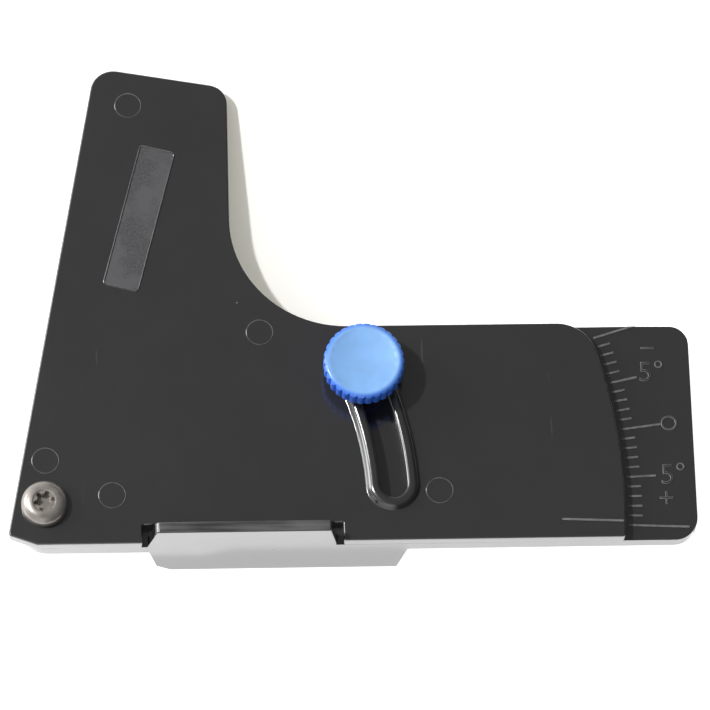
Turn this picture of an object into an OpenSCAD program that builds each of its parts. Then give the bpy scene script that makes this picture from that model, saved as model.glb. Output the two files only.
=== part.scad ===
// Camber gauge: a fixed base plate with a foot and a degree scale, and an L-shaped swing plate that turns
// on a screw beside the foot. A thumb knob clamps the swing plate through its arc slot.
// The gauge is drawn lying on its back: sole towards -Y, arm towards +Y, scale towards +X, face up.
// The origin is on the sole, at the middle of the foot, level with the face of the base plate.
// It is drawn reading ten degrees positive, which is the lower end of the swing.

/* [Base plate] */
// Length from the pivot axis to the scale end
base_len = 133.8; // [130:0.1:150]
// Height from the sole to the top edge
base_height = 47; // [45:0.5:52]
// Thickness of the base plate
base_t = 3.6; // [3:0.1:5]
// Radius of the scale end's upper corner
base_top_r = 4; // [1:0.5:6]
// Radius of the scale end's lower corner
base_low_r = 5; // [1:0.5:6]
// Radius of the plate round the pivot
boss_r = 6; // [5:0.1:6]
// Distance from the pivot to where the top edge starts to fall towards it
shoulder_x = 44; // [38:1:55]
// Radius of that shoulder
shoulder_r = 18; // [5:1:25]

/* [Foot] */
// Distance from the pivot axis to the middle of the foot
foot_offset = 47.7; // [46:0.1:49]
// Length of the rear flange where it leaves the plate
rear_len = 53.3; // [45:0.1:58]
// Depth of the rear flange behind the plate
rear_depth = 11.1; // [8:0.1:14]
// Length of the front flange where it leaves the plate
front_len = 38.6; // [34:0.1:45]
// Depth of the front flange in front of the plate
front_depth = 8.9; // [6:0.1:12]
// Thickness of both flanges
flange_t = 2.4; // [1.8:0.1:3]
// Draft of the flanges' ends
flange_draft = 9.5; // [0:0.5:15]
// Size of the cut on the rear flange's outer corner
flange_cut = 2.5; // [0.5:0.1:4]

/* [Swing plate] */
// Thickness of the swing plate
swing_t = 2.7; // [2:0.1:4]
// Height of the pivot axis above the sole
pivot_height = 8.5; // [8:0.1:10]
// Distance from the pivot axis to the measuring edge
edge_offset = 6.2; // [6.1:0.1:8]
// Distance from the pivot axis to the arm's top edge
arm_len = 98.1; // [85:0.1:110]
// Slope of the arm's top edge
arm_top_slope = 10; // [8:1:14]
// Distance from the pivot axis to the arm's inner edge
arm_inner = 38.8; // [34:0.1:42]
// Radius of the arm's outer top corner
arm_outer_r = 4.8; // [1:0.1:6]
// Radius of the arm's inner top corner
arm_inner_r = 4.4; // [1:0.1:6]
// Radius of the hollow between arm and leg
elbow_r = 24; // [15:1:30]
// Radius of the leg's end about the pivot axis
leg_r = 118.8; // [117:0.1:121]
// Radius of the leg's end corner
leg_corner_r = 8.5; // [2:0.5:10]
// Gap round the front flange
notch_gap = 1.2; // [0.8:0.1:1.2]
// Height of the notch above the front flange
notch_rise = 1.6; // [1:0.1:2.5]

/* [Travel and scale] */
// Largest reading each way, in degrees
reading = 10; // [8:1:10]
// Angle of the scale's zero line above the sole
scale_zero = 7.5; // [7:0.5:8]
// Width of the scale lines
line_w = 0.45; // [0.3:0.05:0.6]
// Height of the scale lines
line_h = 0.15; // [0.1:0.05:0.3]
// Length of a one degree line
line_1 = 2.9; // [2:0.1:3.5]
// Length of a five degree line
line_5 = 6.1; // [5:0.1:7]
// Length of the zero line
line_0 = 8.7; // [7.5:0.1:9.5]
// Length of a ten degree line, before the plate's edge cuts it
line_10 = 12.5; // [10:0.1:12.5]
// Length of the pointer line
pointer_len = 12.6; // [8:0.1:16]

/* [Slot and clamp] */
// Distance from the pivot axis to the clamp screw
clamp_reach = 71.4; // [68:0.1:75]
// Angle of the clamp screw above the sole
clamp_angle = 23; // [22.5:0.5:24]
// Width of the slot
slot_w = 5.3; // [5.1:0.1:6]
// Width of the raised rim on each side of the slot
rim_w = 2.5; // [2:0.1:3]
// Height of the rim
rim_h = 1.1; // [0.8:0.1:1.6]
// Spare travel at each end of the slot, in degrees
slot_spare = 0.3; // [0.1:0.1:0.5]
// Diameter of both screws
screw_d = 4.8; // [4:0.1:4.8]
// Width across the flats of the screw head and the nut behind the plate
hex_w = 8; // [7.8:0.1:9]
// Height of the clamp screw's head
hex_h = 3.4; // [2.5:0.1:4]
// Depth of the pocket that stops the clamp screw turning
pocket_depth = 2; // [1:0.1:2.2]

/* [Knob] */
// Diameter of the knob
knob_d = 16.7; // [14:0.1:20]
// Height of the fluted part
knob_h = 3.9; // [3.5:0.1:8]
// Diameter of the boss under it
knob_boss_d = 11; // [10:0.1:12]
// Height of the boss
knob_boss_h = 1.5; // [0.8:0.1:3]
// Number of lobes round the knob
lobes = 30; // [24:1:36]
// Radius of a lobe
lobe_r = 0.9; // [0.85:0.05:1.2]
// Radius of the knob's top edge
knob_edge_r = 1; // [0.3:0.1:1.2]
// Depth of the dish in the knob's top
dish_depth = 0.25; // [0.1:0.05:0.4]
// Wall of the brass insert
insert_wall = 1.2; // [0.8:0.1:1.5]
// Thickness of the washers
washer_t = 1; // [0.6:0.1:1.5]
// Diameter of the washers
washer_d = 10.4; // [10:0.1:11]

/* [Pivot screw] */
// Diameter of the pivot screw's head
head_d = 9.5; // [9:0.1:9.7]
// Height of the pivot screw's head
head_h = 2.8; // [2.4:0.1:3.2]
// Height of the head's straight side
head_side = 1; // [0.5:0.1:1.2]
// Width across the lobes of the socket
socket_w = 4.4; // [4:0.1:4.5]
// Height of the lock nut without its collar
nut_h = 3.6; // [3:0.1:5]
// Height of the lock nut's collar
collar_h = 1.5; // [1:0.1:2]

/* [Hidden] */
$fn = 96;
running = 0.08;          // radial clearance of a plate that turns on a screw
threaded = 0.03;         // radial clearance that stands for a thread
snug = 0.06;             // clearance of a screw head in its pocket
bury = 0.4;              // depth by which a raised detail starts inside its plate
over = 1;                // overshoot of a cutting shape
hair = 0.01;
corner_blend = 0.8;      // radius of the small corners of the swing plate
heel_x = boss_r - 0.4;   // the base plate's lower left corner, which the swing plate hides at every reading
heel_r = 6;
line_gap = 0.8;          // from the leg's end to the scale lines
witness_r = 2.85;        // ejector pin marks on the swing plate
witness_h = 0.08;
screw_end = 0.8;         // thread that stands past the nut
dome_r = 2.6;            // flat ring round the socket
socket_depth = 1.9;
top_wall = 1;            // knob wall over the screw
collar_wall = 0.9;

screw_r = screw_d / 2;
sole = -pivot_height;
base_top = base_height - pivot_height;
swing_range = 2 * reading;
foot_left = foot_offset - rear_len / 2;
foot_right = foot_offset + rear_len / 2;
front_right = foot_left + front_len;
notch_y = sole + flange_t + notch_rise;
slot_r = slot_w / 2;
rim_r = slot_r + rim_w;
rim_top = swing_t + rim_h;
knob_z = rim_top + washer_t;
knob_top = knob_z + knob_boss_h + knob_h;
pocket_z = pocket_depth - base_t;
slot_high = clamp_angle + slot_spare;
slot_low = clamp_angle - swing_range - slot_spare;
line_in = leg_r + line_gap;
insert_top = knob_top - top_wall;
hex_r = hex_w / 2 / cos(30);
nut_z = -base_t - washer_t;

// Ejector pin marks, from the pivot axis
WITNESS = [[17.9, 88.8], [44.6, 37.2], [0.2, 9.6], [13.8, 1.9], [80.8, 2]];

// An edge is [angle of its outward normal, distance from the pivot axis]
LEFT = [180 - reading, edge_offset];
TOE = [-90 - swing_range, pivot_height];
BOTTOM = [-90, pivot_height];
TOP = [90 - arm_top_slope, arm_len];
INNER = [0, arm_inner];
LEG_TOP = [90, base_top];

function meet(a, b) =
    let (s = sin(b[0] - a[0]))
    [(a[1] * sin(b[0]) - b[1] * sin(a[0])) / s, (b[1] * cos(a[0]) - a[1] * cos(b[0])) / s];
function unit(v) = v / norm(v);
function polar(r, a) = [r * cos(a), r * sin(a)];
function cross2(a, b) = a[0] * b[1] - a[1] * b[0];

// A corner is [point, radius]. Corners run anticlockwise, and a right turn is a hollow one.
function before(c, i) = unit(c[(i + len(c) - 1) % len(c)][0] - c[i][0]);
function after(c, i) = unit(c[(i + 1) % len(c)][0] - c[i][0]);
function hollow(c, i) = cross2(-before(c, i), after(c, i)) < 0;
function half_angle(c, i) = acos(before(c, i) * after(c, i)) / 2;
function tangents(c, i) =
    let (t = c[i][1] / tan(half_angle(c, i)))
    c[i][1] == 0 ? [c[i][0]] : [c[i][0] + before(c, i) * t, c[i][0] + after(c, i) * t];
function centre(c, i) = c[i][0] + unit(before(c, i) + after(c, i)) * c[i][1] / sin(half_angle(c, i));

module outline(corners) {
    last = len(corners) - 1;
    difference() {
        union() {
            polygon([for (i = [0 : last]) for (p = tangents(corners, i)) p]);
            for (i = [0 : last])
                if (corners[i][1] > 0 && !hollow(corners, i))
                    translate(centre(corners, i)) circle(r = corners[i][1]);
        }
        for (i = [0 : last])
            if (corners[i][1] > 0 && hollow(corners, i))
                translate(centre(corners, i)) circle(r = corners[i][1]);
    }
}

module at_pivot() {
    translate([-foot_offset, pivot_height, 0]) children();
}

module at_clamp() {
    at_pivot() rotate(clamp_angle) translate([clamp_reach, 0, 0]) rotate(-clamp_angle) children();
}

// The plate's outline: a bar on the sole whose top edge falls to the round end at the pivot
module base_outline() {
    shoulder = [shoulder_x, base_top];
    upper = polar(boss_r, atan2(shoulder[1], shoulder[0]) + acos(boss_r / norm(shoulder)));
    outline([[[-heel_x, sole], heel_r], [[base_len, sole], base_low_r], [[base_len, base_top], base_top_r],
             [shoulder, shoulder_r], [upper, 0], [[-heel_x, 0], 0]]);
    circle(r = boss_r);
}

// One flange of the foot, with its ends drawn in by the draft and one corner cut at the left
module flange(left, right, depth, cut) {
    draw_in = depth * tan(flange_draft);
    rotate([90, 0, 0]) translate([0, 0, -sole - flange_t]) linear_extrude(flange_t)
        polygon([[left, 0], [right, 0], [right - draw_in, depth], [left + draw_in + cut, depth],
                 [left + (depth - cut) * tan(flange_draft), depth - cut]]);
}

function line_length(n) =
    n == 0 ? line_0 : abs(n) == 10 ? line_10 : abs(n) == 5 ? line_5 : line_1;

module scale_lines() {
    for (n = [-reading : reading])
        rotate(scale_zero + n) translate([line_in, -line_w / 2])
            square([line_length(n), line_w]);
}

module base_plate() {
    color([0.05, 0.05, 0.055]) {
        difference() {
            union() {
                at_pivot() translate([0, 0, -base_t]) linear_extrude(base_t) base_outline();
                at_pivot() translate([0, 0, -bury]) flange(foot_left, front_right, front_depth + bury, 0.6);
                at_pivot() translate([0, 0, bury - base_t]) mirror([0, 0, 1])
                    flange(foot_left, foot_right, rear_depth + bury, flange_cut);
                at_pivot() translate([0, 0, -bury]) linear_extrude(bury + line_h) intersection() {
                    scale_lines();
                    base_outline();
                }
            }
            at_pivot() translate([0, 0, -base_t - over])
                cylinder(r = screw_r + running, h = base_t + 2 * over);
            at_clamp() translate([0, 0, -base_t - over])
                cylinder(r = screw_r + running, h = base_t + 2 * over);
            at_clamp() translate([0, 0, -base_t - over])
                cylinder(r = hex_r + snug, h = pocket_depth + over, $fn = 6);
        }
    }
}

// A band along the arc of the slot. Its round ends are a hair wider than the band, so that they cross it
// cleanly.
module slot_band(half, bottom, height) {
    rotate_extrude(angle = slot_high - slot_low, start = slot_low)
        translate([clamp_reach - half, bottom]) square([2 * half, height]);
    for (a = [slot_low, slot_high])
        rotate(a) translate([clamp_reach, 0, bottom]) cylinder(r = half + hair, h = height);
}

module swing_outline() {
    end_x = leg_r + over;
    corner = leg_r - leg_corner_r;
    corner_y = base_top - leg_corner_r;
    corner_at = [sqrt(corner * corner - corner_y * corner_y), corner_y];
    difference() {
        intersection() {
            outline([[meet(BOTTOM, TOE), 0], [[end_x, sole], 0], [[end_x, base_top], 0],
                     [meet(LEG_TOP, INNER), elbow_r], [meet(INNER, TOP), arm_inner_r],
                     [meet(TOP, LEFT), arm_outer_r], [meet(LEFT, TOE), corner_blend]]);
            circle(r = leg_r, $fn = 360);
        }
        difference() {
            polygon([corner_at, [corner_at[0], base_top + over], [end_x, base_top + over],
                     corner_at * end_x / corner]);
            translate(corner_at) circle(r = leg_corner_r);
        }
        translate([foot_left - notch_gap, sole - over])
            square([front_len + 2 * notch_gap, notch_y - sole + over]);
    }
}

module swing_plate() {
    color([0.06, 0.06, 0.065]) at_pivot() difference() {
        union() {
            linear_extrude(swing_t) swing_outline();
            slot_band(rim_r, swing_t - bury, rim_h + bury);
            for (p = WITNESS)
                translate([p[0], p[1], swing_t - bury]) cylinder(r = witness_r, h = bury + witness_h);
            rotate(scale_zero - reading) translate([leg_r - pointer_len - line_w, -line_w / 2, swing_t - bury])
                cube([pointer_len, line_w, bury + line_h]);
        }
        slot_band(slot_r, -over, rim_top + 2 * over);
        translate([0, 0, -over]) cylinder(r = screw_r + running, h = swing_t + 2 * over);
    }
}

// Section of the domed head, from the axis to the rim, with the dome as an arc
module head_section() {
    head_r = head_d / 2;
    rise = head_h - head_side;
    steps = 8;
    polygon(concat([[0, 0], [head_r - 0.15, 0], [head_r, 0.15]],
        [for (k = [0 : steps]) [dome_r + (head_r - dome_r) * cos(90 * k / steps),
                                head_side + rise * sin(90 * k / steps)]],
        [[0, head_h]]));
}

module pivot_screw() {
    end_z = nut_z - nut_h - collar_h - screw_end;
    socket_z = swing_t + head_h - socket_depth;
    point_r = 0.11 * socket_w;
    color([0.62, 0.6, 0.57]) at_pivot() difference() {
        union() {
            translate([0, 0, swing_t]) rotate_extrude() head_section();
            translate([0, 0, end_z + 0.4]) cylinder(r = screw_r, h = swing_t + bury - end_z - 0.4);
            translate([0, 0, end_z]) cylinder(r1 = screw_r - 0.4, r2 = screw_r, h = 0.4);
        }
        translate([0, 0, socket_z]) rotate(12)
            cylinder(r = 0.4 * socket_w, h = socket_depth + over, $fn = 6);
        for (a = [12 : 60 : 312])
            rotate(a) translate([socket_w / 2 - point_r, 0, socket_z])
                cylinder(r = point_r, h = socket_depth + over, $fn = 32);
        translate([0, 0, swing_t + head_h - 0.2])
            cylinder(r1 = socket_w / 2 + 0.05, r2 = socket_w / 2 + 0.25, h = 0.21);
    }
}

module washer() {
    difference() {
        cylinder(r = washer_d / 2, h = washer_t);
        translate([0, 0, -over]) cylinder(r = screw_r + running, h = washer_t + 2 * over);
    }
}

module pivot_washer() {
    color([0.7, 0.7, 0.7]) at_pivot() translate([0, 0, nut_z]) washer();
}

// A hexagon prism with its corners chamfered on the outer face, which looks towards -Z
module hex_body(height) {
    intersection() {
        translate([0, 0, -height]) cylinder(r = hex_r, h = height, $fn = 6);
        translate([0, 0, -height]) cylinder(r1 = hex_w / 2 - 0.1, r2 = hex_w / 2 - 0.1 + height * 2, h = height);
    }
}

module pivot_nut() {
    collar_r = screw_r + threaded + 2 * collar_wall;
    color([0.72, 0.72, 0.72]) at_pivot() translate([0, 0, nut_z]) difference() {
        union() {
            hex_body(nut_h);
            translate([0, 0, -nut_h - collar_h]) cylinder(r = collar_r, h = collar_h + bury);
        }
        translate([0, 0, -nut_h - collar_h - over])
            cylinder(r = screw_r + threaded, h = nut_h + collar_h + 2 * over);
        translate([0, 0, -nut_h - collar_h - over])
            cylinder(r = collar_r - collar_wall, h = collar_h + over);
    }
}

module lock_ring() {
    ring_r = screw_r + threaded + collar_wall - 0.01;
    color([0.2, 0.35, 0.7]) at_pivot() translate([0, 0, nut_z - nut_h - collar_h + 0.1]) difference() {
        cylinder(r = ring_r, h = collar_h - 0.1);
        translate([0, 0, -over]) cylinder(r = screw_r + threaded, h = collar_h + 2 * over);
    }
}

module clamp_screw() {
    tip_z = insert_top - 0.3;
    color([0.72, 0.72, 0.72]) at_clamp() union() {
        translate([0, 0, pocket_z]) hex_body(hex_h);
        translate([0, 0, pocket_z - bury]) cylinder(r = screw_r, h = tip_z - 0.4 - pocket_z + bury);
        translate([0, 0, tip_z - 0.4]) cylinder(r1 = screw_r, r2 = screw_r - 0.4, h = 0.4);
    }
}

module clamp_washer() {
    color([0.7, 0.7, 0.7]) at_clamp() translate([0, 0, rim_top]) washer();
}

// Section of the knob: a boss, a straight body with a rounded top edge, and a dished top
module knob_section() {
    knob_r = knob_d / 2 + hair;
    dish_r = knob_r - 2.1;
    body_z = knob_z + knob_boss_h;
    steps = 5;
    polygon(concat(
        [[0, knob_z], [knob_boss_d / 2, knob_z], [knob_boss_d / 2, body_z], [knob_r - 0.3, body_z],
         [knob_r, body_z + 0.3]],
        [for (k = [0 : steps]) [knob_r - knob_edge_r, knob_top - knob_edge_r]
                               + polar(knob_edge_r, 90 * k / steps)],
        [[dish_r + 0.8, knob_top], [dish_r, knob_top - dish_depth], [0, knob_top - dish_depth]]));
}

module knob() {
    insert_r = screw_r + threaded + insert_wall;
    ring_r = knob_d / 2 - lobe_r;
    color([0.2, 0.45, 0.95]) at_clamp() difference() {
        intersection() {
            rotate_extrude() knob_section();
            translate([0, 0, knob_z - over]) linear_extrude(knob_top - knob_z + 2 * over) {
                circle(r = ring_r);
                for (k = [0 : lobes - 1])
                    rotate(360 * k / lobes) translate([ring_r, 0]) circle(r = lobe_r, $fn = 32);
            }
        }
        translate([0, 0, knob_z - over]) cylinder(r = insert_r, h = insert_top - knob_z + over);
    }
}

module knob_insert() {
    insert_r = screw_r + threaded + insert_wall - 0.01;
    color([0.85, 0.7, 0.35]) at_clamp() translate([0, 0, knob_z]) difference() {
        cylinder(r = insert_r, h = insert_top - knob_z - 0.02);
        translate([0, 0, -over]) cylinder(r = screw_r + threaded, h = insert_top - knob_z + 2 * over);
    }
}

base_plate();
swing_plate();
pivot_screw();
pivot_washer();
pivot_nut();
lock_ring();
clamp_screw();
clamp_washer();
knob();
knob_insert();
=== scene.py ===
"""Dresses the camber gauge: black moulded plates with softened edges, a fluted blue knob, steel hardware."""

import math

import bmesh
import bpy
from mathutils import Matrix, Vector


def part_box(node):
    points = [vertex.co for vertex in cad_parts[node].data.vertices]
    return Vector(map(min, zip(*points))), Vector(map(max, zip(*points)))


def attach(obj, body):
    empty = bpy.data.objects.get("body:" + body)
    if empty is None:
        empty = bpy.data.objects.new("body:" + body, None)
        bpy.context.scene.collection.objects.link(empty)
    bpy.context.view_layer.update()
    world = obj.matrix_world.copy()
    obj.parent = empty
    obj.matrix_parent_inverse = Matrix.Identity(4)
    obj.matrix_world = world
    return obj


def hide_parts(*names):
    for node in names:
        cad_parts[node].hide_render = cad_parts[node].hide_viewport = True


bl_info = {
    "name": "Camber gauge",
    "version": (1, 0, 0),
    "blender": (4, 5, 0),
    "location": "View3D > Sidebar > Gauge",
    "description": "Builds the visible pieces of a camber gauge round its packed parts",
    "category": "Object",
}

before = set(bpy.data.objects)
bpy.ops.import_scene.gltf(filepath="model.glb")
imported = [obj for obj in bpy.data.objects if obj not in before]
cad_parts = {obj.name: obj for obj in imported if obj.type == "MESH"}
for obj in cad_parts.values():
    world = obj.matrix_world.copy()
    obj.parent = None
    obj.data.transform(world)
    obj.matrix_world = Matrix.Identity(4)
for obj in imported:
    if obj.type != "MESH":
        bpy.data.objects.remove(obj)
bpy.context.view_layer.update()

MM = 0.001
PIVOT = Vector((-0.0477, 0.0085, 0.0))
SCREW_HEAD = 2.8 * MM
SWING_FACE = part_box("pivot_screw")[1].z - SCREW_HEAD  # the head stands on the swing plate's face
FOOT_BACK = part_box("base_plate")[0].z
FOOT_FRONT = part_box("base_plate")[1].z
ARM_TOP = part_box("swing_plate")[1].y

WELD = 0.003 * MM  # points closer than this are one point
FLAT = math.radians(0.6)  # faces that meet at less than this are one flat face
SHARP = math.radians(30)  # edges sharper than this can be softened

# These heights are in millimetres.
SAME = 0.01  # two heights closer than this are the same
CLEAR = 0.05  # a height this far from another is clearly above or below it
MARK_TOPS = (0.05, 0.12)  # tops of the ejector marks, above their plate
LINE_TOPS = (0.12, 0.3)  # tops of the raised lines, above their plate
DETAIL = (0.02, 0.3)  # the walls of marks and lines are this high
WALL = 0.5  # the plates' own walls are higher than this

UPWARD = 0.9  # a face whose normal has more Z than this looks up

# Scale figures and signs: text, height setting, font size for a height of one, place from the pivot in mm
LABELS = (
    ("figure_five_high", "5°", "figure", 1.36, (125.7, 28.5)),
    ("figure_zero", "O", "zero", 1.36, (128.9, 16.95)),
    ("figure_five_low", "5°", "figure", 1.36, (129.2, 5.9)),
    ("sign_minus", "−", "figure", 1.3, (125.2, 33.6)),
    ("sign_plus", "+", "figure", 1.3, (127.6, 0.6)),
)

PANEL_PLACE = Vector((20.0, 63.1, 0.0)) * MM  # from the pivot
PANEL_LEAN = math.radians(-14.5)
PANEL_CORNER = 0.9 * MM
PANEL_FOOT = 0.03 * MM  # the panel's border starts this deep in the plate
PANEL_BORDER = ((0.16 * MM, 0.1 * MM), (0.08 * MM, 0.0), (0.14 * MM, -0.09 * MM))  # widths and rises inwards


# ---------------------------------------------------------------- settings


class GaugePlateSettings(bpy.types.PropertyGroup):
    """Sizes and colours of the two moulded plates."""

    colour: bpy.props.FloatVectorProperty(
        name="Plastic", description="Colour of the moulded plates", subtype="COLOR",
        size=3, min=0.0, max=1.0, default=(0.026, 0.026, 0.027))
    edge: bpy.props.FloatProperty(
        name="Edge radius", description="Radius of the swing plate's edges. The base plate has 0.7 of it",
        unit="LENGTH",
        min=0.0001, max=0.0006, default=0.0004)
    rim_edge: bpy.props.FloatProperty(
        name="Rim edge radius", description="Radius of the rim's two upper edges", unit="LENGTH",
        min=0.0002, max=0.0009, default=0.00088)
    rim_slope: bpy.props.FloatProperty(
        name="Rim slope", description="How far the rim's flank leans in at its top", unit="LENGTH",
        min=0.0, max=0.0009, default=0.00025)
    rim_foot: bpy.props.FloatProperty(
        name="Rim foot", description="Spread of the rim's flank at its foot, and radius of the fillet there",
        unit="LENGTH",
        min=0.0001, max=0.0004, default=0.0003)
    mark_ridge: bpy.props.FloatProperty(
        name="Mark ridge", description="Width of the fine ridge round the ejector marks", unit="LENGTH",
        min=0.0001, max=0.0003, default=0.00018)
    panel_length: bpy.props.FloatProperty(
        name="Panel length", description="Length of the frosted panel on the arm", unit="LENGTH",
        min=0.02, max=0.04, default=0.0325)
    panel_width: bpy.props.FloatProperty(
        name="Panel width", description="Width of the frosted panel on the arm", unit="LENGTH",
        min=0.004, max=0.012, default=0.0078)


class GaugeScaleSettings(bpy.types.PropertyGroup):
    """Figures beside the scale lines."""

    relief: bpy.props.FloatProperty(
        name="Relief", description="Relief of the figures, which stand 0.9 of it proud", unit="LENGTH",
        min=0.0001, max=0.0004, default=0.00024)
    figure: bpy.props.FloatProperty(
        name="Figure size", description="Height of the fives", unit="LENGTH",
        min=0.002, max=0.007, default=0.0046)
    zero: bpy.props.FloatProperty(
        name="Zero size", description="Height of the zero", unit="LENGTH",
        min=0.002, max=0.006, default=0.0034)


class GaugeKnobSettings(bpy.types.PropertyGroup):
    """Colours and edges of the thumb knob."""

    # The top colour is a painted highlight; the side colour is the knob's blue plastic.
    highlight_colour: bpy.props.FloatVectorProperty(
        name="Knob top", description="Colour of the knob's worn top", subtype="COLOR",
        size=3, min=0.0, max=1.0, default=(0.26, 0.51, 0.93))
    side_colour: bpy.props.FloatVectorProperty(
        name="Knob side", description="Colour of the knob's lobes", subtype="COLOR",
        size=3, min=0.0, max=1.0, default=(0.045, 0.19, 0.84))
    edge: bpy.props.FloatProperty(
        name="Knob edge", description="Radius of the edges under the boss", unit="LENGTH",
        min=0.00005, max=0.0003, default=0.00012)


class GaugeStageSettings(bpy.types.PropertyGroup):
    """Camera, lamps and floor."""

    lens: bpy.props.FloatProperty(
        name="Lens", description="Focal length of the camera", unit="CAMERA",
        min=50.0, max=400.0, default=247.5)
    key: bpy.props.FloatProperty(
        name="Key power", description="Power of the key lamp", subtype="POWER",
        min=0.0, max=200.0, default=10.8)
    window: bpy.props.FloatProperty(
        name="Window power", description="Power of the broad lamp at the left", subtype="POWER",
        min=0.0, max=200.0, default=5.5)
    fill: bpy.props.FloatProperty(
        name="Fill power", description="Power of the fill lamp", subtype="POWER",
        min=0.0, max=200.0, default=1.0)
    floor_size: bpy.props.FloatProperty(
        name="Floor size", description="Side of the square floor", unit="LENGTH",
        min=0.3, max=2.0, default=1.6)


# ---------------------------------------------------------------- mesh helpers


def deselect():
    if bpy.context.object and bpy.context.object.mode != "OBJECT":
        bpy.ops.object.mode_set(mode="OBJECT")
    bpy.ops.object.select_all(action="DESELECT")


def activate(obj):
    deselect()
    obj.select_set(True)
    bpy.context.view_layer.objects.active = obj


def apply_place(obj):
    activate(obj)
    bpy.ops.object.transform_apply(location=True, rotation=True, scale=True)


def material_of(obj, *materials):
    obj.data.materials.clear()
    for material in materials:
        obj.data.materials.append(material)


def copy_of(node, name):
    """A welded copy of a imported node's mesh, with its flat faces made whole."""
    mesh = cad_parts[node].data.copy()
    mesh.name = name
    obj = bpy.data.objects.new(name, mesh)
    bpy.context.scene.collection.objects.link(obj)
    activate(obj)
    bpy.ops.object.mode_set(mode="EDIT")
    bpy.ops.mesh.select_all(action="SELECT")
    bpy.ops.mesh.remove_doubles(threshold=WELD)
    bpy.ops.mesh.dissolve_limited(angle_limit=FLAT)
    bpy.ops.mesh.customdata_custom_splitnormals_clear()
    bpy.ops.object.mode_set(mode="OBJECT")
    return obj


def soften(obj, rule, width, segments):
    """Rounds the sharp edges that rule gives a weight above zero."""
    activate(obj)
    bm = bmesh.new()
    bm.from_mesh(obj.data)
    layers = bm.edges.layers.float
    weight = layers.get("bevel_weight_edge") or layers.new("bevel_weight_edge")
    for edge in bm.edges:
        sharp = len(edge.link_faces) == 2 and edge.calc_face_angle(0.0) > SHARP
        edge[weight] = float(rule(edge)) if sharp else 0.0
    bm.to_mesh(obj.data)
    bm.free()
    bevel = obj.modifiers.new("Edges", "BEVEL")
    bevel.limit_method = "WEIGHT"
    bevel.width = width
    bevel.segments = segments
    bevel.use_clamp_overlap = False
    bevel.miter_outer = "MITER_ARC"
    bevel.loop_slide = False
    bpy.ops.object.modifier_apply(modifier=bevel.name)


def smooth(obj, degrees):
    """Shades an object smooth, apart from the edges that are sharper than the given angle."""
    activate(obj)
    bpy.ops.object.shade_smooth_by_angle(angle=math.radians(degrees))


def even_shading(obj):
    """Lets the broad faces set the normals, so that they stay flat beside their rounded edges."""
    smooth(obj, 35)
    weighted = obj.modifiers.new("Shading", "WEIGHTED_NORMAL")
    weighted.weight = 80
    weighted.keep_sharp = True
    bpy.ops.object.modifier_apply(modifier=weighted.name)


def heights_of(verts):
    """Lowest and highest of some points, in millimetres."""
    z = [vert.co.z / MM for vert in verts]
    return min(z), max(z)


def spans(edge):
    """Lowest and highest point of each face beside an edge, in millimetres."""
    return [heights_of(face.verts) for face in edge.link_faces]


def lowest(edge):
    return min(low for low, high in spans(edge))


def highest(edge):
    return max(high for low, high in spans(edge))


def level(edge, z):
    """Whether an edge lies at the height z, in millimetres."""
    return all(abs(vert.co.z / MM - z) < SAME for vert in edge.verts)


def within(value, limits):
    return limits[0] < value < limits[1]


def finish_piece(obj, body, slot, *nodes):
    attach(obj, body)
    if nodes:
        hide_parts(*nodes)


# ---------------------------------------------------------------- material helpers


def new_material(name):
    material = bpy.data.materials.new(name)
    material.use_nodes = True
    tree = material.node_tree
    tree.nodes.clear()
    out = tree.nodes.new("ShaderNodeOutputMaterial")
    shader = tree.nodes.new("ShaderNodeBsdfPrincipled")
    tree.links.new(shader.outputs["BSDF"], out.inputs["Surface"])
    coords = tree.nodes.new("ShaderNodeTexCoord")
    return material, tree, shader, coords


def feed(tree, socket, value):
    """Links a node's output into a socket, or gives the socket a plain number or colour."""
    if isinstance(value, bpy.types.NodeSocket):
        tree.links.new(value, socket)
    elif socket.type == "RGBA":
        socket.default_value = (*value, 1.0)
    else:
        socket.default_value = value


def feed_all(tree, node, values):
    for name, value in values.items():
        feed(tree, node.inputs[name], value)


def noise(tree, coords, scale, detail=2.0, rough=0.5, stretch=None, turn=0.0):
    """Cloudy noise between 0 and 1. A small stretch draws it out along that axis, and turn is about Z."""
    node = tree.nodes.new("ShaderNodeTexNoise")
    feed_all(tree, node, {"Scale": scale, "Detail": detail, "Roughness": rough})
    place = coords.outputs["Object"]
    if stretch:
        mapping = tree.nodes.new("ShaderNodeMapping")
        feed_all(tree, mapping, {"Vector": place, "Scale": stretch, "Rotation": (0.0, 0.0, turn)})
        place = mapping.outputs["Vector"]
    tree.links.new(place, node.inputs["Vector"])
    return node.outputs["Fac"]


def ramp(tree, value, stops):
    """Turns a value into greys or colours, by a list of positions and what they give."""
    node = tree.nodes.new("ShaderNodeValToRGB")
    elements = node.color_ramp.elements
    while len(elements) < len(stops):
        elements.new(0.5)
    for element, (position, shade) in zip(elements, stops):
        element.position = position
        element.color = (*shade, 1.0) if isinstance(shade, tuple) else (shade, shade, shade, 1.0)
    tree.links.new(value, node.inputs["Fac"])
    return node.outputs["Color"]


def shades(tree, value, colour, dark, pale):
    """Lets a colour wander between a darker and a paler share of itself."""
    return ramp(tree, value, [(0.3, tuple(c * dark for c in colour)),
                              (0.7, tuple(min(1.0, c * pale) for c in colour))])


def math_node(tree, operation, a, b, c=0.5):
    node = tree.nodes.new("ShaderNodeMath")
    node.operation = operation
    for socket, value in zip(node.inputs, (a, b, c)):
        feed(tree, socket, value)
    return node.outputs["Value"]


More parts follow.
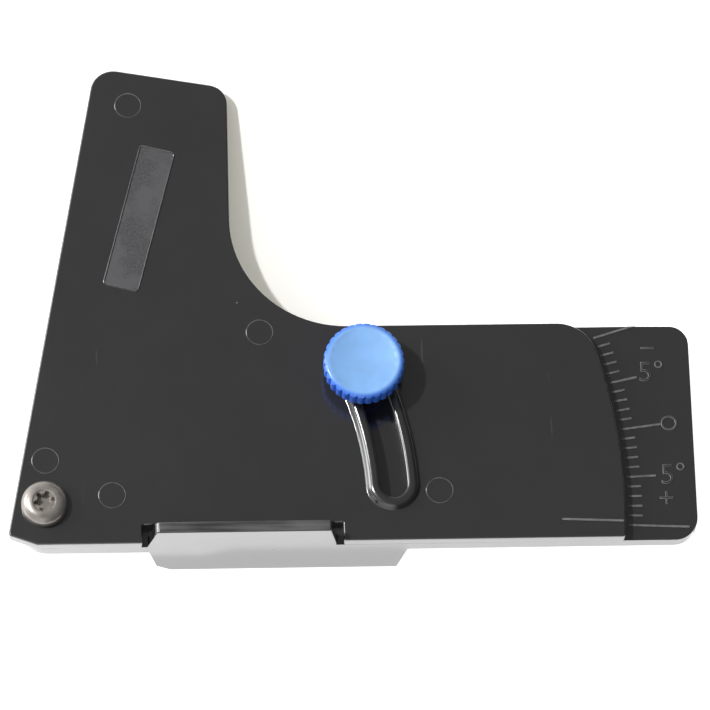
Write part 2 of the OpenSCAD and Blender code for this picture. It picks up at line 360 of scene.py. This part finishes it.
def mix_colour(tree, factor, a, b, how="MIX"):
    node = tree.nodes.new("ShaderNodeMix")
    node.data_type = "RGBA"
    node.blend_type = how
    colours = [socket for socket in node.inputs if socket.type == "RGBA"]
    for socket, value in zip((node.inputs["Factor"], *colours), (factor, a, b)):
        feed(tree, socket, value)
    return next(socket for socket in node.outputs if socket.type == "RGBA")


def axes_of(tree, vector):
    """The X, Y and Z outputs of a vector."""
    split = tree.nodes.new("ShaderNodeSeparateXYZ")
    tree.links.new(vector, split.inputs["Vector"])
    return split.outputs


def bump(tree, shader, height, strength, distance):
    node = tree.nodes.new("ShaderNodeBump")
    feed_all(tree, node, {"Height": height, "Strength": strength, "Distance": distance})
    tree.links.new(node.outputs["Normal"], shader.inputs["Normal"])


def specks(tree, coords, scale, size, share):
    """A mask of small scattered dots: one in each of a share of the cells."""
    cells = tree.nodes.new("ShaderNodeTexVoronoi")
    feed_all(tree, cells, {"Scale": scale, "Vector": coords.outputs["Object"]})
    near = math_node(tree, "LESS_THAN", cells.outputs["Distance"], size)
    split = tree.nodes.new("ShaderNodeSeparateColor")
    tree.links.new(cells.outputs["Color"], split.inputs["Color"])
    chosen = math_node(tree, "LESS_THAN", split.outputs["Red"], share)
    return math_node(tree, "MULTIPLY", near, chosen)


# ---------------------------------------------------------------- materials


def moulded_black(name, colour):
    """Glossy moulded nylon: near black, with faint flow marks, a few hair scratches and specks of dust."""
    material, tree, shader, coords = new_material(name)
    tint = shades(tree, noise(tree, coords, 25.0), colour, dark=0.95, pale=1.06)
    across = noise(tree, coords, 300.0, detail=3.0, rough=0.6, stretch=(1.0, 0.05, 1.0), turn=0.9)
    along = noise(tree, coords, 300.0, detail=3.0, rough=0.6, stretch=(1.0, 0.04, 1.0), turn=-0.5)
    hairs = math_node(tree, "MAXIMUM", ramp(tree, across, [(0.735, 0.0), (0.775, 1.0)]),
                      ramp(tree, along, [(0.74, 0.0), (0.78, 1.0)]))
    scratches = math_node(tree, "MULTIPLY", hairs, 0.35)
    coarse = specks(tree, coords, scale=90.0, size=0.022, share=0.3)
    fine = specks(tree, coords, scale=260.0, size=0.04, share=0.03)
    dust = math_node(tree, "MULTIPLY", math_node(tree, "MAXIMUM", coarse, fine), 0.5)
    scratched = mix_colour(tree, scratches, tint, (0.12, 0.12, 0.13))
    rough = ramp(tree, noise(tree, coords, 180.0, detail=3.0), [(0.3, 0.16), (0.75, 0.22)])
    feed_all(tree, shader, {
        "Base Color": mix_colour(tree, dust, scratched, (0.4, 0.4, 0.38)),
        "Roughness": math_node(tree, "ADD", rough, scratches),
        "IOR": 1.75,
        "Coat Weight": 0.7,
        "Coat Roughness": 0.05,
    })
    bump(tree, shader, noise(tree, coords, 700.0), strength=0.05, distance=0.03 * MM)
    return material


# Painted highlight on the figures and mark ridges; a paler top on the raised lines.
def rubbed_black(name):
    """Pale, dull black for raised details: a paler top on the lines, and a painted highlight on the figures'
    shoulders and the ridges' inner slopes.
    """
    material, tree, shader, coords = new_material(name)
    feed_all(tree, shader, {
        "Base Color": ramp(tree, noise(tree, coords, 700.0, detail=4.0, rough=0.65),
                           [(0.3, (0.1, 0.1, 0.102)), (0.75, (0.24, 0.24, 0.244))]),
        "Roughness": ramp(tree, noise(tree, coords, 1500.0), [(0.3, 0.34), (0.7, 0.5)]),
    })
    bump(tree, shader, noise(tree, coords, 2600.0, detail=3.0), strength=0.15, distance=0.05 * MM)
    return material


def frosted_black(name):
    """The spark-eroded field of a mould: grey, grainy and dull beside the polished plate."""
    material, tree, shader, coords = new_material(name)
    grain = noise(tree, coords, 2600.0, detail=4.0, rough=0.7)
    cloud = ramp(tree, noise(tree, coords, 160.0, detail=3.0, rough=0.6), [(0.42, 0.0), (0.58, 0.8)])
    grey = ramp(tree, grain, [(0.35, (0.03, 0.03, 0.033)), (0.7, (0.1, 0.101, 0.107))])
    feed_all(tree, shader, {
        "Base Color": mix_colour(tree, cloud, grey, (0.085, 0.086, 0.092)),
        "Roughness": ramp(tree, grain, [(0.3, 0.45), (0.7, 0.65)]),
    })
    bump(tree, shader, grain, strength=0.5, distance=0.06 * MM)
    return material


def cut_black(name):
    """The front edge of the foot, dragged grey where the moulding gate was cut away."""
    material, tree, shader, coords = new_material(name)
    drag = noise(tree, coords, 420.0, detail=3.0, rough=0.5, stretch=(0.2, 3.0, 1.0))
    cloud = math_node(tree, "MULTIPLY", noise(tree, coords, 70.0), 0.6)
    shade = math_node(tree, "MULTIPLY_ADD", drag, 0.5, cloud)
    feed_all(tree, shader, {
        "Base Color": ramp(tree, shade, [(0.4, (0.035, 0.035, 0.037)), (0.72, (0.15, 0.15, 0.152))]),
        "Roughness": ramp(tree, drag, [(0.3, 0.3), (0.7, 0.45)]),
    })
    bump(tree, shader, drag, strength=0.2, distance=0.08 * MM)
    return material


def knob_blue(name, top, side, axis, reach):
    """Blue plastic, deep and glossy down the lobes, with a painted highlight that makes the top paler and
    rougher.

    The painted highlight fades towards the knob's edge, by the distance from its axis as a share of its
    reach.
    """
    material, tree, shader, coords = new_material(name)
    flat = ramp(tree, axes_of(tree, coords.outputs["Normal"])["Z"], [(0.3, 0.0), (0.8, 1.0)])
    away = tree.nodes.new("ShaderNodeVectorMath")
    away.operation = "MULTIPLY_ADD"
    for socket, value in zip(away.inputs, (coords.outputs["Object"], (1.0 / reach, 1.0 / reach, 0.0),
                                           (-axis.x / reach, -axis.y / reach, 0.0))):
        feed(tree, socket, value)
    length = tree.nodes.new("ShaderNodeVectorMath")
    length.operation = "LENGTH"
    tree.links.new(away.outputs["Vector"], length.inputs[0])
    inner = ramp(tree, length.outputs["Value"], [(0.85, 1.0), (0.94, 0.15)])
    # Mask of the painted highlight: faces that look up, away from the knob's edge.
    highlighted = math_node(tree, "MULTIPLY", flat, inner)
    flow = ramp(tree, noise(tree, coords, 260.0, detail=3.0), [(0.3, 0.93), (0.7, 1.05)])
    feed_all(tree, shader, {
        "Base Color": mix_colour(tree, 1.0, mix_colour(tree, highlighted, side, top), flow, "MULTIPLY"),
        "Roughness": math_node(tree, "MULTIPLY_ADD", highlighted, 0.22, 0.2),
        "IOR": 1.52,
        "Subsurface Weight": 0.15,
        "Subsurface Radius": (0.2, 0.5, 1.0),
        "Subsurface Scale": 0.8 * MM,
    })
    bump(tree, shader, noise(tree, coords, 1500.0, detail=3.0), strength=0.1, distance=0.04 * MM)
    return material


def steel(name, colour, rough, metal=1.0, brushed=False):
    """Plated steel with a fine grain, drawn out round the shank where brushed, and small tarnish clouds."""
    material, tree, shader, coords = new_material(name)
    clouds = noise(tree, coords, 500.0, detail=4.0, rough=0.6)
    feed_all(tree, shader, {
        "Base Color": shades(tree, clouds, colour, dark=0.82, pale=1.1),
        "Metallic": metal,
        "Roughness": ramp(tree, noise(tree, coords, 1200.0, detail=3.0), [(0.3, rough), (0.7, rough + 0.12)]),
    })
    if brushed:
        grain = noise(tree, coords, 3000.0, stretch=(1.0, 1.0, 6.0))
    else:
        grain = noise(tree, coords, 2500.0, detail=3.0)
    bump(tree, shader, grain, strength=0.05, distance=0.04 * MM)
    return material


def plain(name, colour, rough, metal=0.0):
    """Nylon or brass with faint clouds and a fine grain."""
    material, tree, shader, coords = new_material(name)
    feed_all(tree, shader, {
        "Base Color": shades(tree, noise(tree, coords, 700.0, detail=3.0), colour, dark=0.88, pale=1.1),
        "Metallic": metal,
        "Roughness": ramp(tree, noise(tree, coords, 1500.0), [(0.3, rough), (0.7, rough + 0.1)]),
    })
    bump(tree, shader, noise(tree, coords, 2400.0), strength=0.1, distance=0.04 * MM)
    return material


MATERIALS = {}


def shared(name, maker, **values):
    """The material of that name, made at its first use."""
    if name not in MATERIALS:
        MATERIALS[name] = maker(name, **values)
    return MATERIALS[name]


def plate_black(name):
    """The glossy plastic of one plate and of the details on it."""
    return shared(name, moulded_black, colour=tuple(bpy.context.scene.gauge_plate.colour))


# ---------------------------------------------------------------- pieces


class GAUGE_OT_base_plate(bpy.types.Operator):
    """Base plate with softened edges, a dull cut edge on the foot and pale scale lines"""

    bl_idname = "gauge.base_plate"
    bl_label = "Base plate"

    def execute(self, context):
        plate = copy_of("base_plate", "base_plate_moulding")

        def outer(edge):
            on_line = any(low > -SAME and within(high, DETAIL) for low, high in spans(edge))
            on_sole = level(edge, 0.0) and all(abs(vert.co.y) < SAME * MM for vert in edge.verts)
            return not on_line and not on_sole and highest(edge) - lowest(edge) > WALL

        soften(plate, outer, 0.7 * context.scene.gauge_plate.edge, segments=3)
        material_of(plate, plate_black("base_black"), shared("rubbed_black", rubbed_black),
                    shared("cut_black", cut_black))
        foot_edge = FOOT_FRONT - 0.3 * MM
        for face in plate.data.polygons:
            if face.normal.z > UPWARD and within(face.center.z / MM, LINE_TOPS):
                face.material_index = 1
            elif face.normal.z > UPWARD and face.center.z > foot_edge:
                face.material_index = 2
        even_shading(plate)
        finish_piece(plate, "base", "base_plastic", "base_plate")
        return {"FINISHED"}


class GAUGE_OT_swing_plate(bpy.types.Operator):
    """Swing plate with softened edges, a rounded rim along its slot and ridges round its ejector marks"""

    bl_idname = "gauge.swing_plate"
    bl_label = "Swing plate"

    def execute(self, context):
        settings = context.scene.gauge_plate
        plate = copy_of("swing_plate", "swing_plate_moulding")
        face_z = SWING_FACE / MM
        rim_z = heights_of(plate.data.vertices)[1]

        def on_detail(edge):
            return any(low > face_z - CLEAR and within(high - low, DETAIL) for low, high in spans(edge))

        def rim_top(edge):
            along_slot = lowest(edge) < face_z - CLEAR
            return level(edge, rim_z) * (1.0 if along_slot else 0.98)

        def rim_foot(edge):
            return level(edge, face_z) and highest(edge) > face_z + CLEAR and not on_detail(edge)

        def outer(edge):
            if level(edge, 0.0) or on_detail(edge):
                return False
            return heights_of(edge.verts)[1] < face_z + SAME and highest(edge) < face_z + CLEAR

        self.slope_rim(plate, face_z, rim_z, settings.rim_slope, settings.rim_foot)
        soften(plate, rim_top, settings.rim_edge, segments=6)
        soften(plate, rim_foot, settings.rim_foot, segments=4)
        soften(plate, outer, settings.edge, segments=4)
        material_of(plate, plate_black("swing_black"), shared("rubbed_black", rubbed_black))
        self.ridge_marks(plate, face_z, settings.mark_ridge)
        beyond_slot = 90 * MM  # the rim lies nearer to the pivot than this, and the pointer line further
        for face in plate.data.polygons:
            raised = within(face.center.z / MM - face_z, LINE_TOPS)
            if raised and face.normal.z > UPWARD and (face.center - PIVOT).length > beyond_slot:
                face.material_index = 1
        even_shading(plate)
        finish_piece(plate, "swing", "swing_plastic", "swing_plate")
        return {"FINISHED"}

    def slope_rim(self, plate, face_z, rim_z, lean, spread):
        """Slopes the rim's outer flank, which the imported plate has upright."""
        bm = bmesh.new()
        bm.from_mesh(plate.data)
        moves = []
        for vert in bm.verts:
            out = Vector()
            for face in vert.link_faces:
                low, high = heights_of(face.verts)
                if abs(low - face_z) < SAME and abs(high - rim_z) < SAME:
                    out += face.normal
            if out.length > 0.0:
                at_top = abs(vert.co.z / MM - rim_z) < SAME
                moves.append((vert, out.normalized() * (-lean if at_top else spread)))
        for vert, move in moves:
            vert.co += move
        bm.to_mesh(plate.data)
        bm.free()

    def ridge_marks(self, plate, face_z, ridge):
        """Puts a fine ridge, with a painted highlight on its inner slope, round each ejector mark in place of
        its disc.
        """
        activate(plate)
        bpy.ops.object.mode_set(mode="EDIT")
        bpy.context.tool_settings.mesh_select_mode = (False, False, True)
        bm = bmesh.from_edit_mesh(plate.data)
        for face in bm.faces:
            low, high = heights_of(face.verts)
            on_disc = within(low - face_z, MARK_TOPS) and within(high - face_z, MARK_TOPS)
            face.select_set(face.normal.z > 0.99 and on_disc)
        bm.select_flush_mode()
        bmesh.update_edit_mesh(plate.data)

        # The disc sinks to 0.01 mm above the face. The ridge then rises to 0.07 mm, round a floor at 0.03 mm.
        bpy.ops.transform.translate(value=(0.0, 0.0, -0.07 * MM))
        bpy.ops.mesh.inset(thickness=0.6 * ridge, depth=0.06 * MM)
        bpy.ops.mesh.inset(thickness=0.4 * ridge, depth=-0.04 * MM)
        bm = bmesh.from_edit_mesh(plate.data)
        # Painted highlight: the slope round each mark's floor takes the pale material.
        for disc in [face for face in bm.faces if face.select]:
            for edge in disc.edges:
                for face in edge.link_faces:
                    face.material_index = 0 if face == disc else 1
        bmesh.update_edit_mesh(plate.data)
        bpy.ops.object.mode_set(mode="OBJECT")


class GAUGE_OT_panel(bpy.types.Operator):
    """Blank panel on the arm's face, with a raised border round a frosted field"""

    bl_idname = "gauge.panel"
    bl_label = "Frosted panel"

    def execute(self, context):
        settings = context.scene.gauge_plate
        deselect()
        bpy.ops.mesh.primitive_plane_add(size=1.0, location=(0.0, 0.0, 0.0))
        panel = context.object
        panel.name = panel.data.name = "arm_panel"
        panel.scale = (settings.panel_width, settings.panel_length, 1.0)
        bpy.ops.object.transform_apply(scale=True)
        bpy.ops.object.mode_set(mode="EDIT")
        bpy.ops.mesh.select_all(action="SELECT")
        bpy.ops.mesh.bevel(offset=PANEL_CORNER, segments=5, affect="VERTICES")
        bpy.ops.mesh.select_all(action="SELECT")
        bpy.ops.mesh.extrude_region_move(TRANSFORM_OT_translate={"value": (0.0, 0.0, PANEL_FOOT)})
        for width, rise in PANEL_BORDER:
            bpy.ops.mesh.inset(thickness=width, depth=rise)
        bpy.ops.object.mode_set(mode="OBJECT")
        panel.rotation_euler = (0.0, 0.0, PANEL_LEAN)
        panel.location = PIVOT + PANEL_PLACE + Vector((0.0, 0.0, SWING_FACE - PANEL_FOOT))
        apply_place(panel)
        material_of(panel, plate_black("swing_black"), shared("frosted_black", frosted_black))
        upward = [face for face in panel.data.polygons if face.normal.z > UPWARD]
        max(upward, key=lambda face: face.area).material_index = 1
        finish_piece(panel, "swing", "swing_plastic")
        return {"FINISHED"}


class GAUGE_OT_figures(bpy.types.Operator):
    """Raised figures and signs beside the scale lines, with a painted highlight on their shoulders"""

    bl_idname = "gauge.figures"
    bl_label = "Scale figures"

    def execute(self, context):
        scale = context.scene.gauge_scale
        core = 0.1 * scale.relief
        shoulder = 0.6 * scale.relief
        lift = 0.2 * scale.relief  # buries most of the lower shoulders in the plate
        highlit_depth = 0.15 * MM
        for name, text, size, font, (x, y) in LABELS:
            deselect()
            bpy.ops.object.text_add(location=(0.0, 0.0, 0.0))
            figure = context.object
            figure.name = name
            figure.data.body = text
            figure.data.size = getattr(scale, size) * font
            figure.data.align_x = "CENTER"
            figure.data.align_y = "CENTER"
            figure.data.extrude = core
            figure.data.bevel_depth = shoulder
            figure.data.bevel_resolution = 2
            figure.data.offset = -shoulder
            bpy.ops.object.convert(target="MESH")
            figure = context.object
            middle = sum((Vector(corner) for corner in figure.bound_box), Vector()) / len(figure.bound_box)
            figure.location = PIVOT + Vector((x, y, 0.0)) * MM + Vector((0.0, 0.0, lift)) - middle
            apply_place(figure)
            bpy.ops.object.mode_set(mode="EDIT")
            bpy.ops.mesh.select_all(action="SELECT")
            bpy.ops.mesh.remove_doubles(threshold=0.001 * MM)
            bpy.ops.object.mode_set(mode="OBJECT")
            smooth(figure, 40)
            figure.data.name = name
            material_of(figure, plate_black("base_black"), shared("rubbed_black", rubbed_black))
            top = max(vert.co.z for vert in figure.data.vertices)
            # Painted highlight: the sloped shoulders near the figures' tops take the pale material.
            for face in figure.data.polygons:
                if 0.1 < face.normal.z < 0.99 and face.center.z > top - highlit_depth:
                    face.material_index = 1
            finish_piece(figure, "base", "base_plastic")
        return {"FINISHED"}


class GAUGE_OT_pivot_screw(bpy.types.Operator):
    """Button-head pivot screw with a domed head, a socket and a softened rim"""

    bl_idname = "gauge.pivot_screw"
    bl_label = "Pivot screw"

    def execute(self, context):
        screw = copy_of("pivot_screw", "pivot_button_screw")

        def reach(vert):
            return (vert.co - PIVOT).to_2d().length

        head_r = max(reach(vert) for vert in screw.data.vertices)

        def head_rim(edge):
            return min(reach(vert) for vert in edge.verts) > 0.99 * head_r

        soften(screw, head_rim, 0.12 * MM, segments=3)
        smooth(screw, 35)
        material_of(screw, shared("screw_steel", steel, colour=(0.38, 0.35, 0.325), rough=0.27, metal=0.65))
        finish_piece(screw, "base", "screw_steel", "pivot_screw")
        return {"FINISHED"}


class GAUGE_OT_hardware(bpy.types.Operator):
    """Nut, lock ring, clamp screw, washers and knob insert with softened edges"""

    bl_idname = "gauge.hardware"
    bl_label = "Nut, screw and washers"

    def execute(self, context):
        zinc = shared("zinc_steel", steel, colour=(0.42, 0.42, 0.41), rough=0.28, brushed=True)
        nylon = shared("lock_nylon", plain, colour=(0.04, 0.12, 0.42), rough=0.4)
        brass = shared("insert_brass", plain, colour=(0.72, 0.5, 0.2), rough=0.28, metal=1.0)

        def every(edge):
            return True

        def upright(edge):
            return (edge.verts[0].co - edge.verts[1].co).to_2d().length < SAME * MM

        # Node, body, slot, material, which edges to round, and their radius in millimetres.
        rows = (
            ("pivot_washer", "base", "hardware_steel", zinc, every, 0.1),
            ("pivot_nut", "base", "hardware_steel", zinc, upright, 0.12),
            ("lock_ring", "base", "lock_nylon", nylon, every, 0.1),
            ("clamp_screw", "base", "hardware_steel", zinc, upright, 0.1),
            ("clamp_washer", "washer", "hardware_steel", zinc, every, 0.1),
            ("knob_insert", "knob", "insert_brass", brass, every, 0.08),
        )
        for node, body, slot, material, rule, radius in rows:
            piece = copy_of(node, node + "_dressed")
            soften(piece, rule, radius * MM, segments=2)
            even_shading(piece)
            material_of(piece, material)
            finish_piece(piece, body, slot, node)
        return {"FINISHED"}


class GAUGE_OT_knob(bpy.types.Operator):
    """Lobed thumb knob with a rounded lower edge and a painted highlight on its top"""

    bl_idname = "gauge.knob"
    bl_label = "Thumb knob"

    def execute(self, context):
        settings = context.scene.gauge_knob
        knob = copy_of("knob", "thumb_knob")
        boss_z = heights_of(knob.data.vertices)[0]
        soften(knob, lambda edge: level(edge, boss_z), settings.edge, segments=2)
        smooth(knob, 30)
        low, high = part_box("knob")
        material_of(knob, shared("knob_blue", knob_blue, top=tuple(settings.highlight_colour),
                                 side=tuple(settings.side_colour), axis=(low + high) / 2,
                                 reach=(high.x - low.x) / 2))
        finish_piece(knob, "knob", "knob_plastic", "knob")
        return {"FINISHED"}


# ---------------------------------------------------------------- stage


class GAUGE_OT_stage(bpy.types.Operator):
    """Camera, lamps, world and the pale floor that the gauge leans on"""

    bl_idname = "gauge.stage"
    bl_label = "Stage"

    def execute(self, context):
        settings = context.scene.gauge_stage
        scene = context.scene
        scene.view_settings.view_transform = "Standard"

        deselect()
        bpy.ops.object.camera_add(location=(0.0, 0.0, 1.0))
        camera = context.object
        camera.name = "camera"
        camera.data.sensor_width = 36.0
        camera.data.lens = settings.lens
        camera.data.clip_start = 0.01
        camera.data.clip_end = 20.0
        across = Vector((0.99900918, -0.02716359, 0.03525332))
        upward = Vector((0.01270861, 0.93326378, 0.35896686))
        back = Vector((-0.04265147, -0.35816316, 0.93268430))
        place = Vector((-0.026525715, -0.321095407, 0.944054008))
        turn = Matrix((across, upward, back)).transposed()
        camera.matrix_world = Matrix.Translation(place) @ turn.to_4x4()
        scene.camera = camera

        # The foot's rear edge and the arm's tip stand on the floor, so it slopes under the plates.
        deselect()
        bpy.ops.mesh.primitive_plane_add(size=settings.floor_size, location=(0.0, 0.0, 0.0))
        floor = context.object
        floor.name = floor.data.name = "floor"
        floor.rotation_euler = (math.atan2(-FOOT_BACK, ARM_TOP), 0.0, 0.0)
        floor.location = (0.0, 0.0, FOOT_BACK - 0.02 * MM)  # a hair below the foot
        apply_place(floor)
        material_of(floor, self.floor_material())

        # Each lamp is a disk that faces the middle of the gauge: direction, distance, size, power and colour.
        middle = Vector((0.02, 0.045, 0.0))
        lamps = (
            ("key_lamp", Vector((-0.575, 0.13, 0.845)), 1.3, 0.08, settings.key, (1.0, 0.99, 0.97)),
            ("window_lamp", Vector((-0.86, 0.3, 0.35)), 1.1, 0.58, settings.window, (0.97, 0.99, 1.0)),
            ("fill_lamp", Vector((-0.2, -0.75, 0.65)), 1.4, 0.9, settings.fill, (0.97, 0.98, 1.0)),
        )
        for name, direction, distance, size, power, colour in lamps:
            deselect()
            bpy.ops.object.light_add(type="AREA", location=middle + direction.normalized() * distance)
            lamp = context.object
            lamp.name = name
            lamp.data.shape = "DISK"
            lamp.data.size = size
            lamp.data.energy = power
            lamp.data.color = colour
            lamp.rotation_euler = direction.to_track_quat("Z", "Y").to_euler()
        scene.world = self.room()
        return {"FINISHED"}

    def floor_material(self):
        """White paper with painted light: for the camera it glows burnt out white over the gauge's shadows,
        but for a greyer part behind the gauge, on the left.
        """
        material, tree, shader, coords = new_material("floor_white")
        tree.nodes.remove(shader)
        out = next(node for node in tree.nodes if node.type == "OUTPUT_MATERIAL")
        matt = tree.nodes.new("ShaderNodeBsdfDiffuse")
        feed(tree, matt.inputs["Color"], (0.97, 0.97, 0.98))
        path = tree.nodes.new("ShaderNodeLightPath").outputs
        place = axes_of(tree, coords.outputs["Object"])
        front = math_node(tree, "LESS_THAN", place["Y"], 5 * MM)
        aside = ramp(tree, math_node(tree, "MULTIPLY", place["X"], 10.0), [(0.2, 0.0), (0.6, 1.0)])
        # Painted light: where burnt out, the floor glows white for the camera and hides the gauge's shadows.
        burnt_out = math_node(tree, "MAXIMUM", front, aside)

        # Painted reflection: the floor glows for reflected rays, so the plates mirror its front and left
        # parts brightly, and the rest faintly.
        left = math_node(tree, "LESS_THAN", place["X"], 0.0)
        lit = math_node(tree, "MAXIMUM", front, left)
        mirrored = math_node(tree, "MULTIPLY", path["Is Glossy Ray"],
                             math_node(tree, "MULTIPLY_ADD", lit, 1.02, 0.1))
        glow = tree.nodes.new("ShaderNodeEmission")
        feed_all(tree, glow, {
            "Color": mix_colour(tree, burnt_out, (0.302, 0.294, 0.245), (1.0, 1.0, 1.0)),
            "Strength": math_node(tree, "ADD", path["Is Camera Ray"], mirrored),
        })
        both = tree.nodes.new("ShaderNodeAddShader")
        tree.links.new(matt.outputs["BSDF"], both.inputs[0])
        tree.links.new(glow.outputs["Emission"], both.inputs[1])
        tree.links.new(both.outputs["Shader"], out.inputs["Surface"])
        return material

    def room(self):
        """A room that is pale low down and on the left, and white where the camera looks past the floor."""
        world = bpy.data.worlds.new("studio")
        world.use_nodes = True
        tree = world.node_tree
        tree.nodes.clear()
        coords = tree.nodes.new("ShaderNodeTexCoord")
        direction = axes_of(tree, coords.outputs["Generated"])
        from_left = math_node(tree, "MULTIPLY_ADD", direction["X"], 0.5, 0.5)
        height = ramp(tree, direction["Z"], [(0.0, 0.9), (0.4, 0.8), (0.8, 0.24), (1.0, 0.18)])
        side = ramp(tree, from_left, [(0.45, 1.0), (0.62, 0.06)])
        walls = math_node(tree, "MULTIPLY", height, side)
        high = ramp(tree, direction["Z"], [(0.66, 0.0), (0.78, 1.0)])
        glow = ramp(tree, from_left, [(0.22, 0.8), (0.29, 0.5), (0.36, 0.3), (0.44, 0.2), (0.5, 0.17)])
        ceiling = math_node(tree, "MULTIPLY", high, glow)
        room = tree.nodes.new("ShaderNodeBackground")
        feed(tree, room.inputs["Color"], math_node(tree, "MAXIMUM", walls, ceiling))
        white = tree.nodes.new("ShaderNodeBackground")
        feed(tree, white.inputs["Color"], (1.0, 1.0, 1.0))
        path = tree.nodes.new("ShaderNodeLightPath")
        mix = tree.nodes.new("ShaderNodeMixShader")
        tree.links.new(path.outputs["Is Camera Ray"], mix.inputs["Fac"])
        tree.links.new(room.outputs["Background"], mix.inputs[1])
        tree.links.new(white.outputs["Background"], mix.inputs[2])
        out = tree.nodes.new("ShaderNodeOutputWorld")
        tree.links.new(mix.outputs["Shader"], out.inputs["Surface"])
        return world


PIECES = (
    GAUGE_OT_base_plate,
    GAUGE_OT_figures,
    GAUGE_OT_swing_plate,
    GAUGE_OT_panel,
    GAUGE_OT_pivot_screw,
    GAUGE_OT_hardware,
    GAUGE_OT_knob,
    GAUGE_OT_stage,
)
SETTINGS = (
    ("gauge_plate", GaugePlateSettings),
    ("gauge_scale", GaugeScaleSettings),
    ("gauge_knob", GaugeKnobSettings),
    ("gauge_stage", GaugeStageSettings),
)


class GAUGE_PT_sidebar(bpy.types.Panel):
    """Lists the gauge's sizes and the operators that build it"""

    bl_idname = "GAUGE_PT_sidebar"
    bl_label = "Camber gauge"
    bl_space_type = "VIEW_3D"
    bl_region_type = "UI"
    bl_category = "Gauge"

    def draw(self, context):
        for name, group in SETTINGS:
            box = self.layout.box()
            for field in group.__annotations__:
                box.prop(getattr(context.scene, name), field)
        for piece in PIECES:
            self.layout.operator(piece.bl_idname)


def register():
    for name, group in SETTINGS:
        bpy.utils.register_class(group)
        setattr(bpy.types.Scene, name, bpy.props.PointerProperty(type=group))
    for piece in PIECES:
        bpy.utils.register_class(piece)
    bpy.utils.register_class(GAUGE_PT_sidebar)


def unregister():
    bpy.utils.unregister_class(GAUGE_PT_sidebar)
    for piece in reversed(PIECES):
        bpy.utils.unregister_class(piece)
    for name, group in reversed(SETTINGS):
        delattr(bpy.types.Scene, name)
        bpy.utils.unregister_class(group)


def main():
    register()
    bpy.ops.gauge.base_plate()
    bpy.ops.gauge.figures()
    bpy.ops.gauge.swing_plate()
    bpy.ops.gauge.panel()
    bpy.ops.gauge.pivot_screw()
    bpy.ops.gauge.hardware()
    bpy.ops.gauge.knob()
    bpy.ops.gauge.stage()
    deselect()


if __name__ == "__main__":
    main()
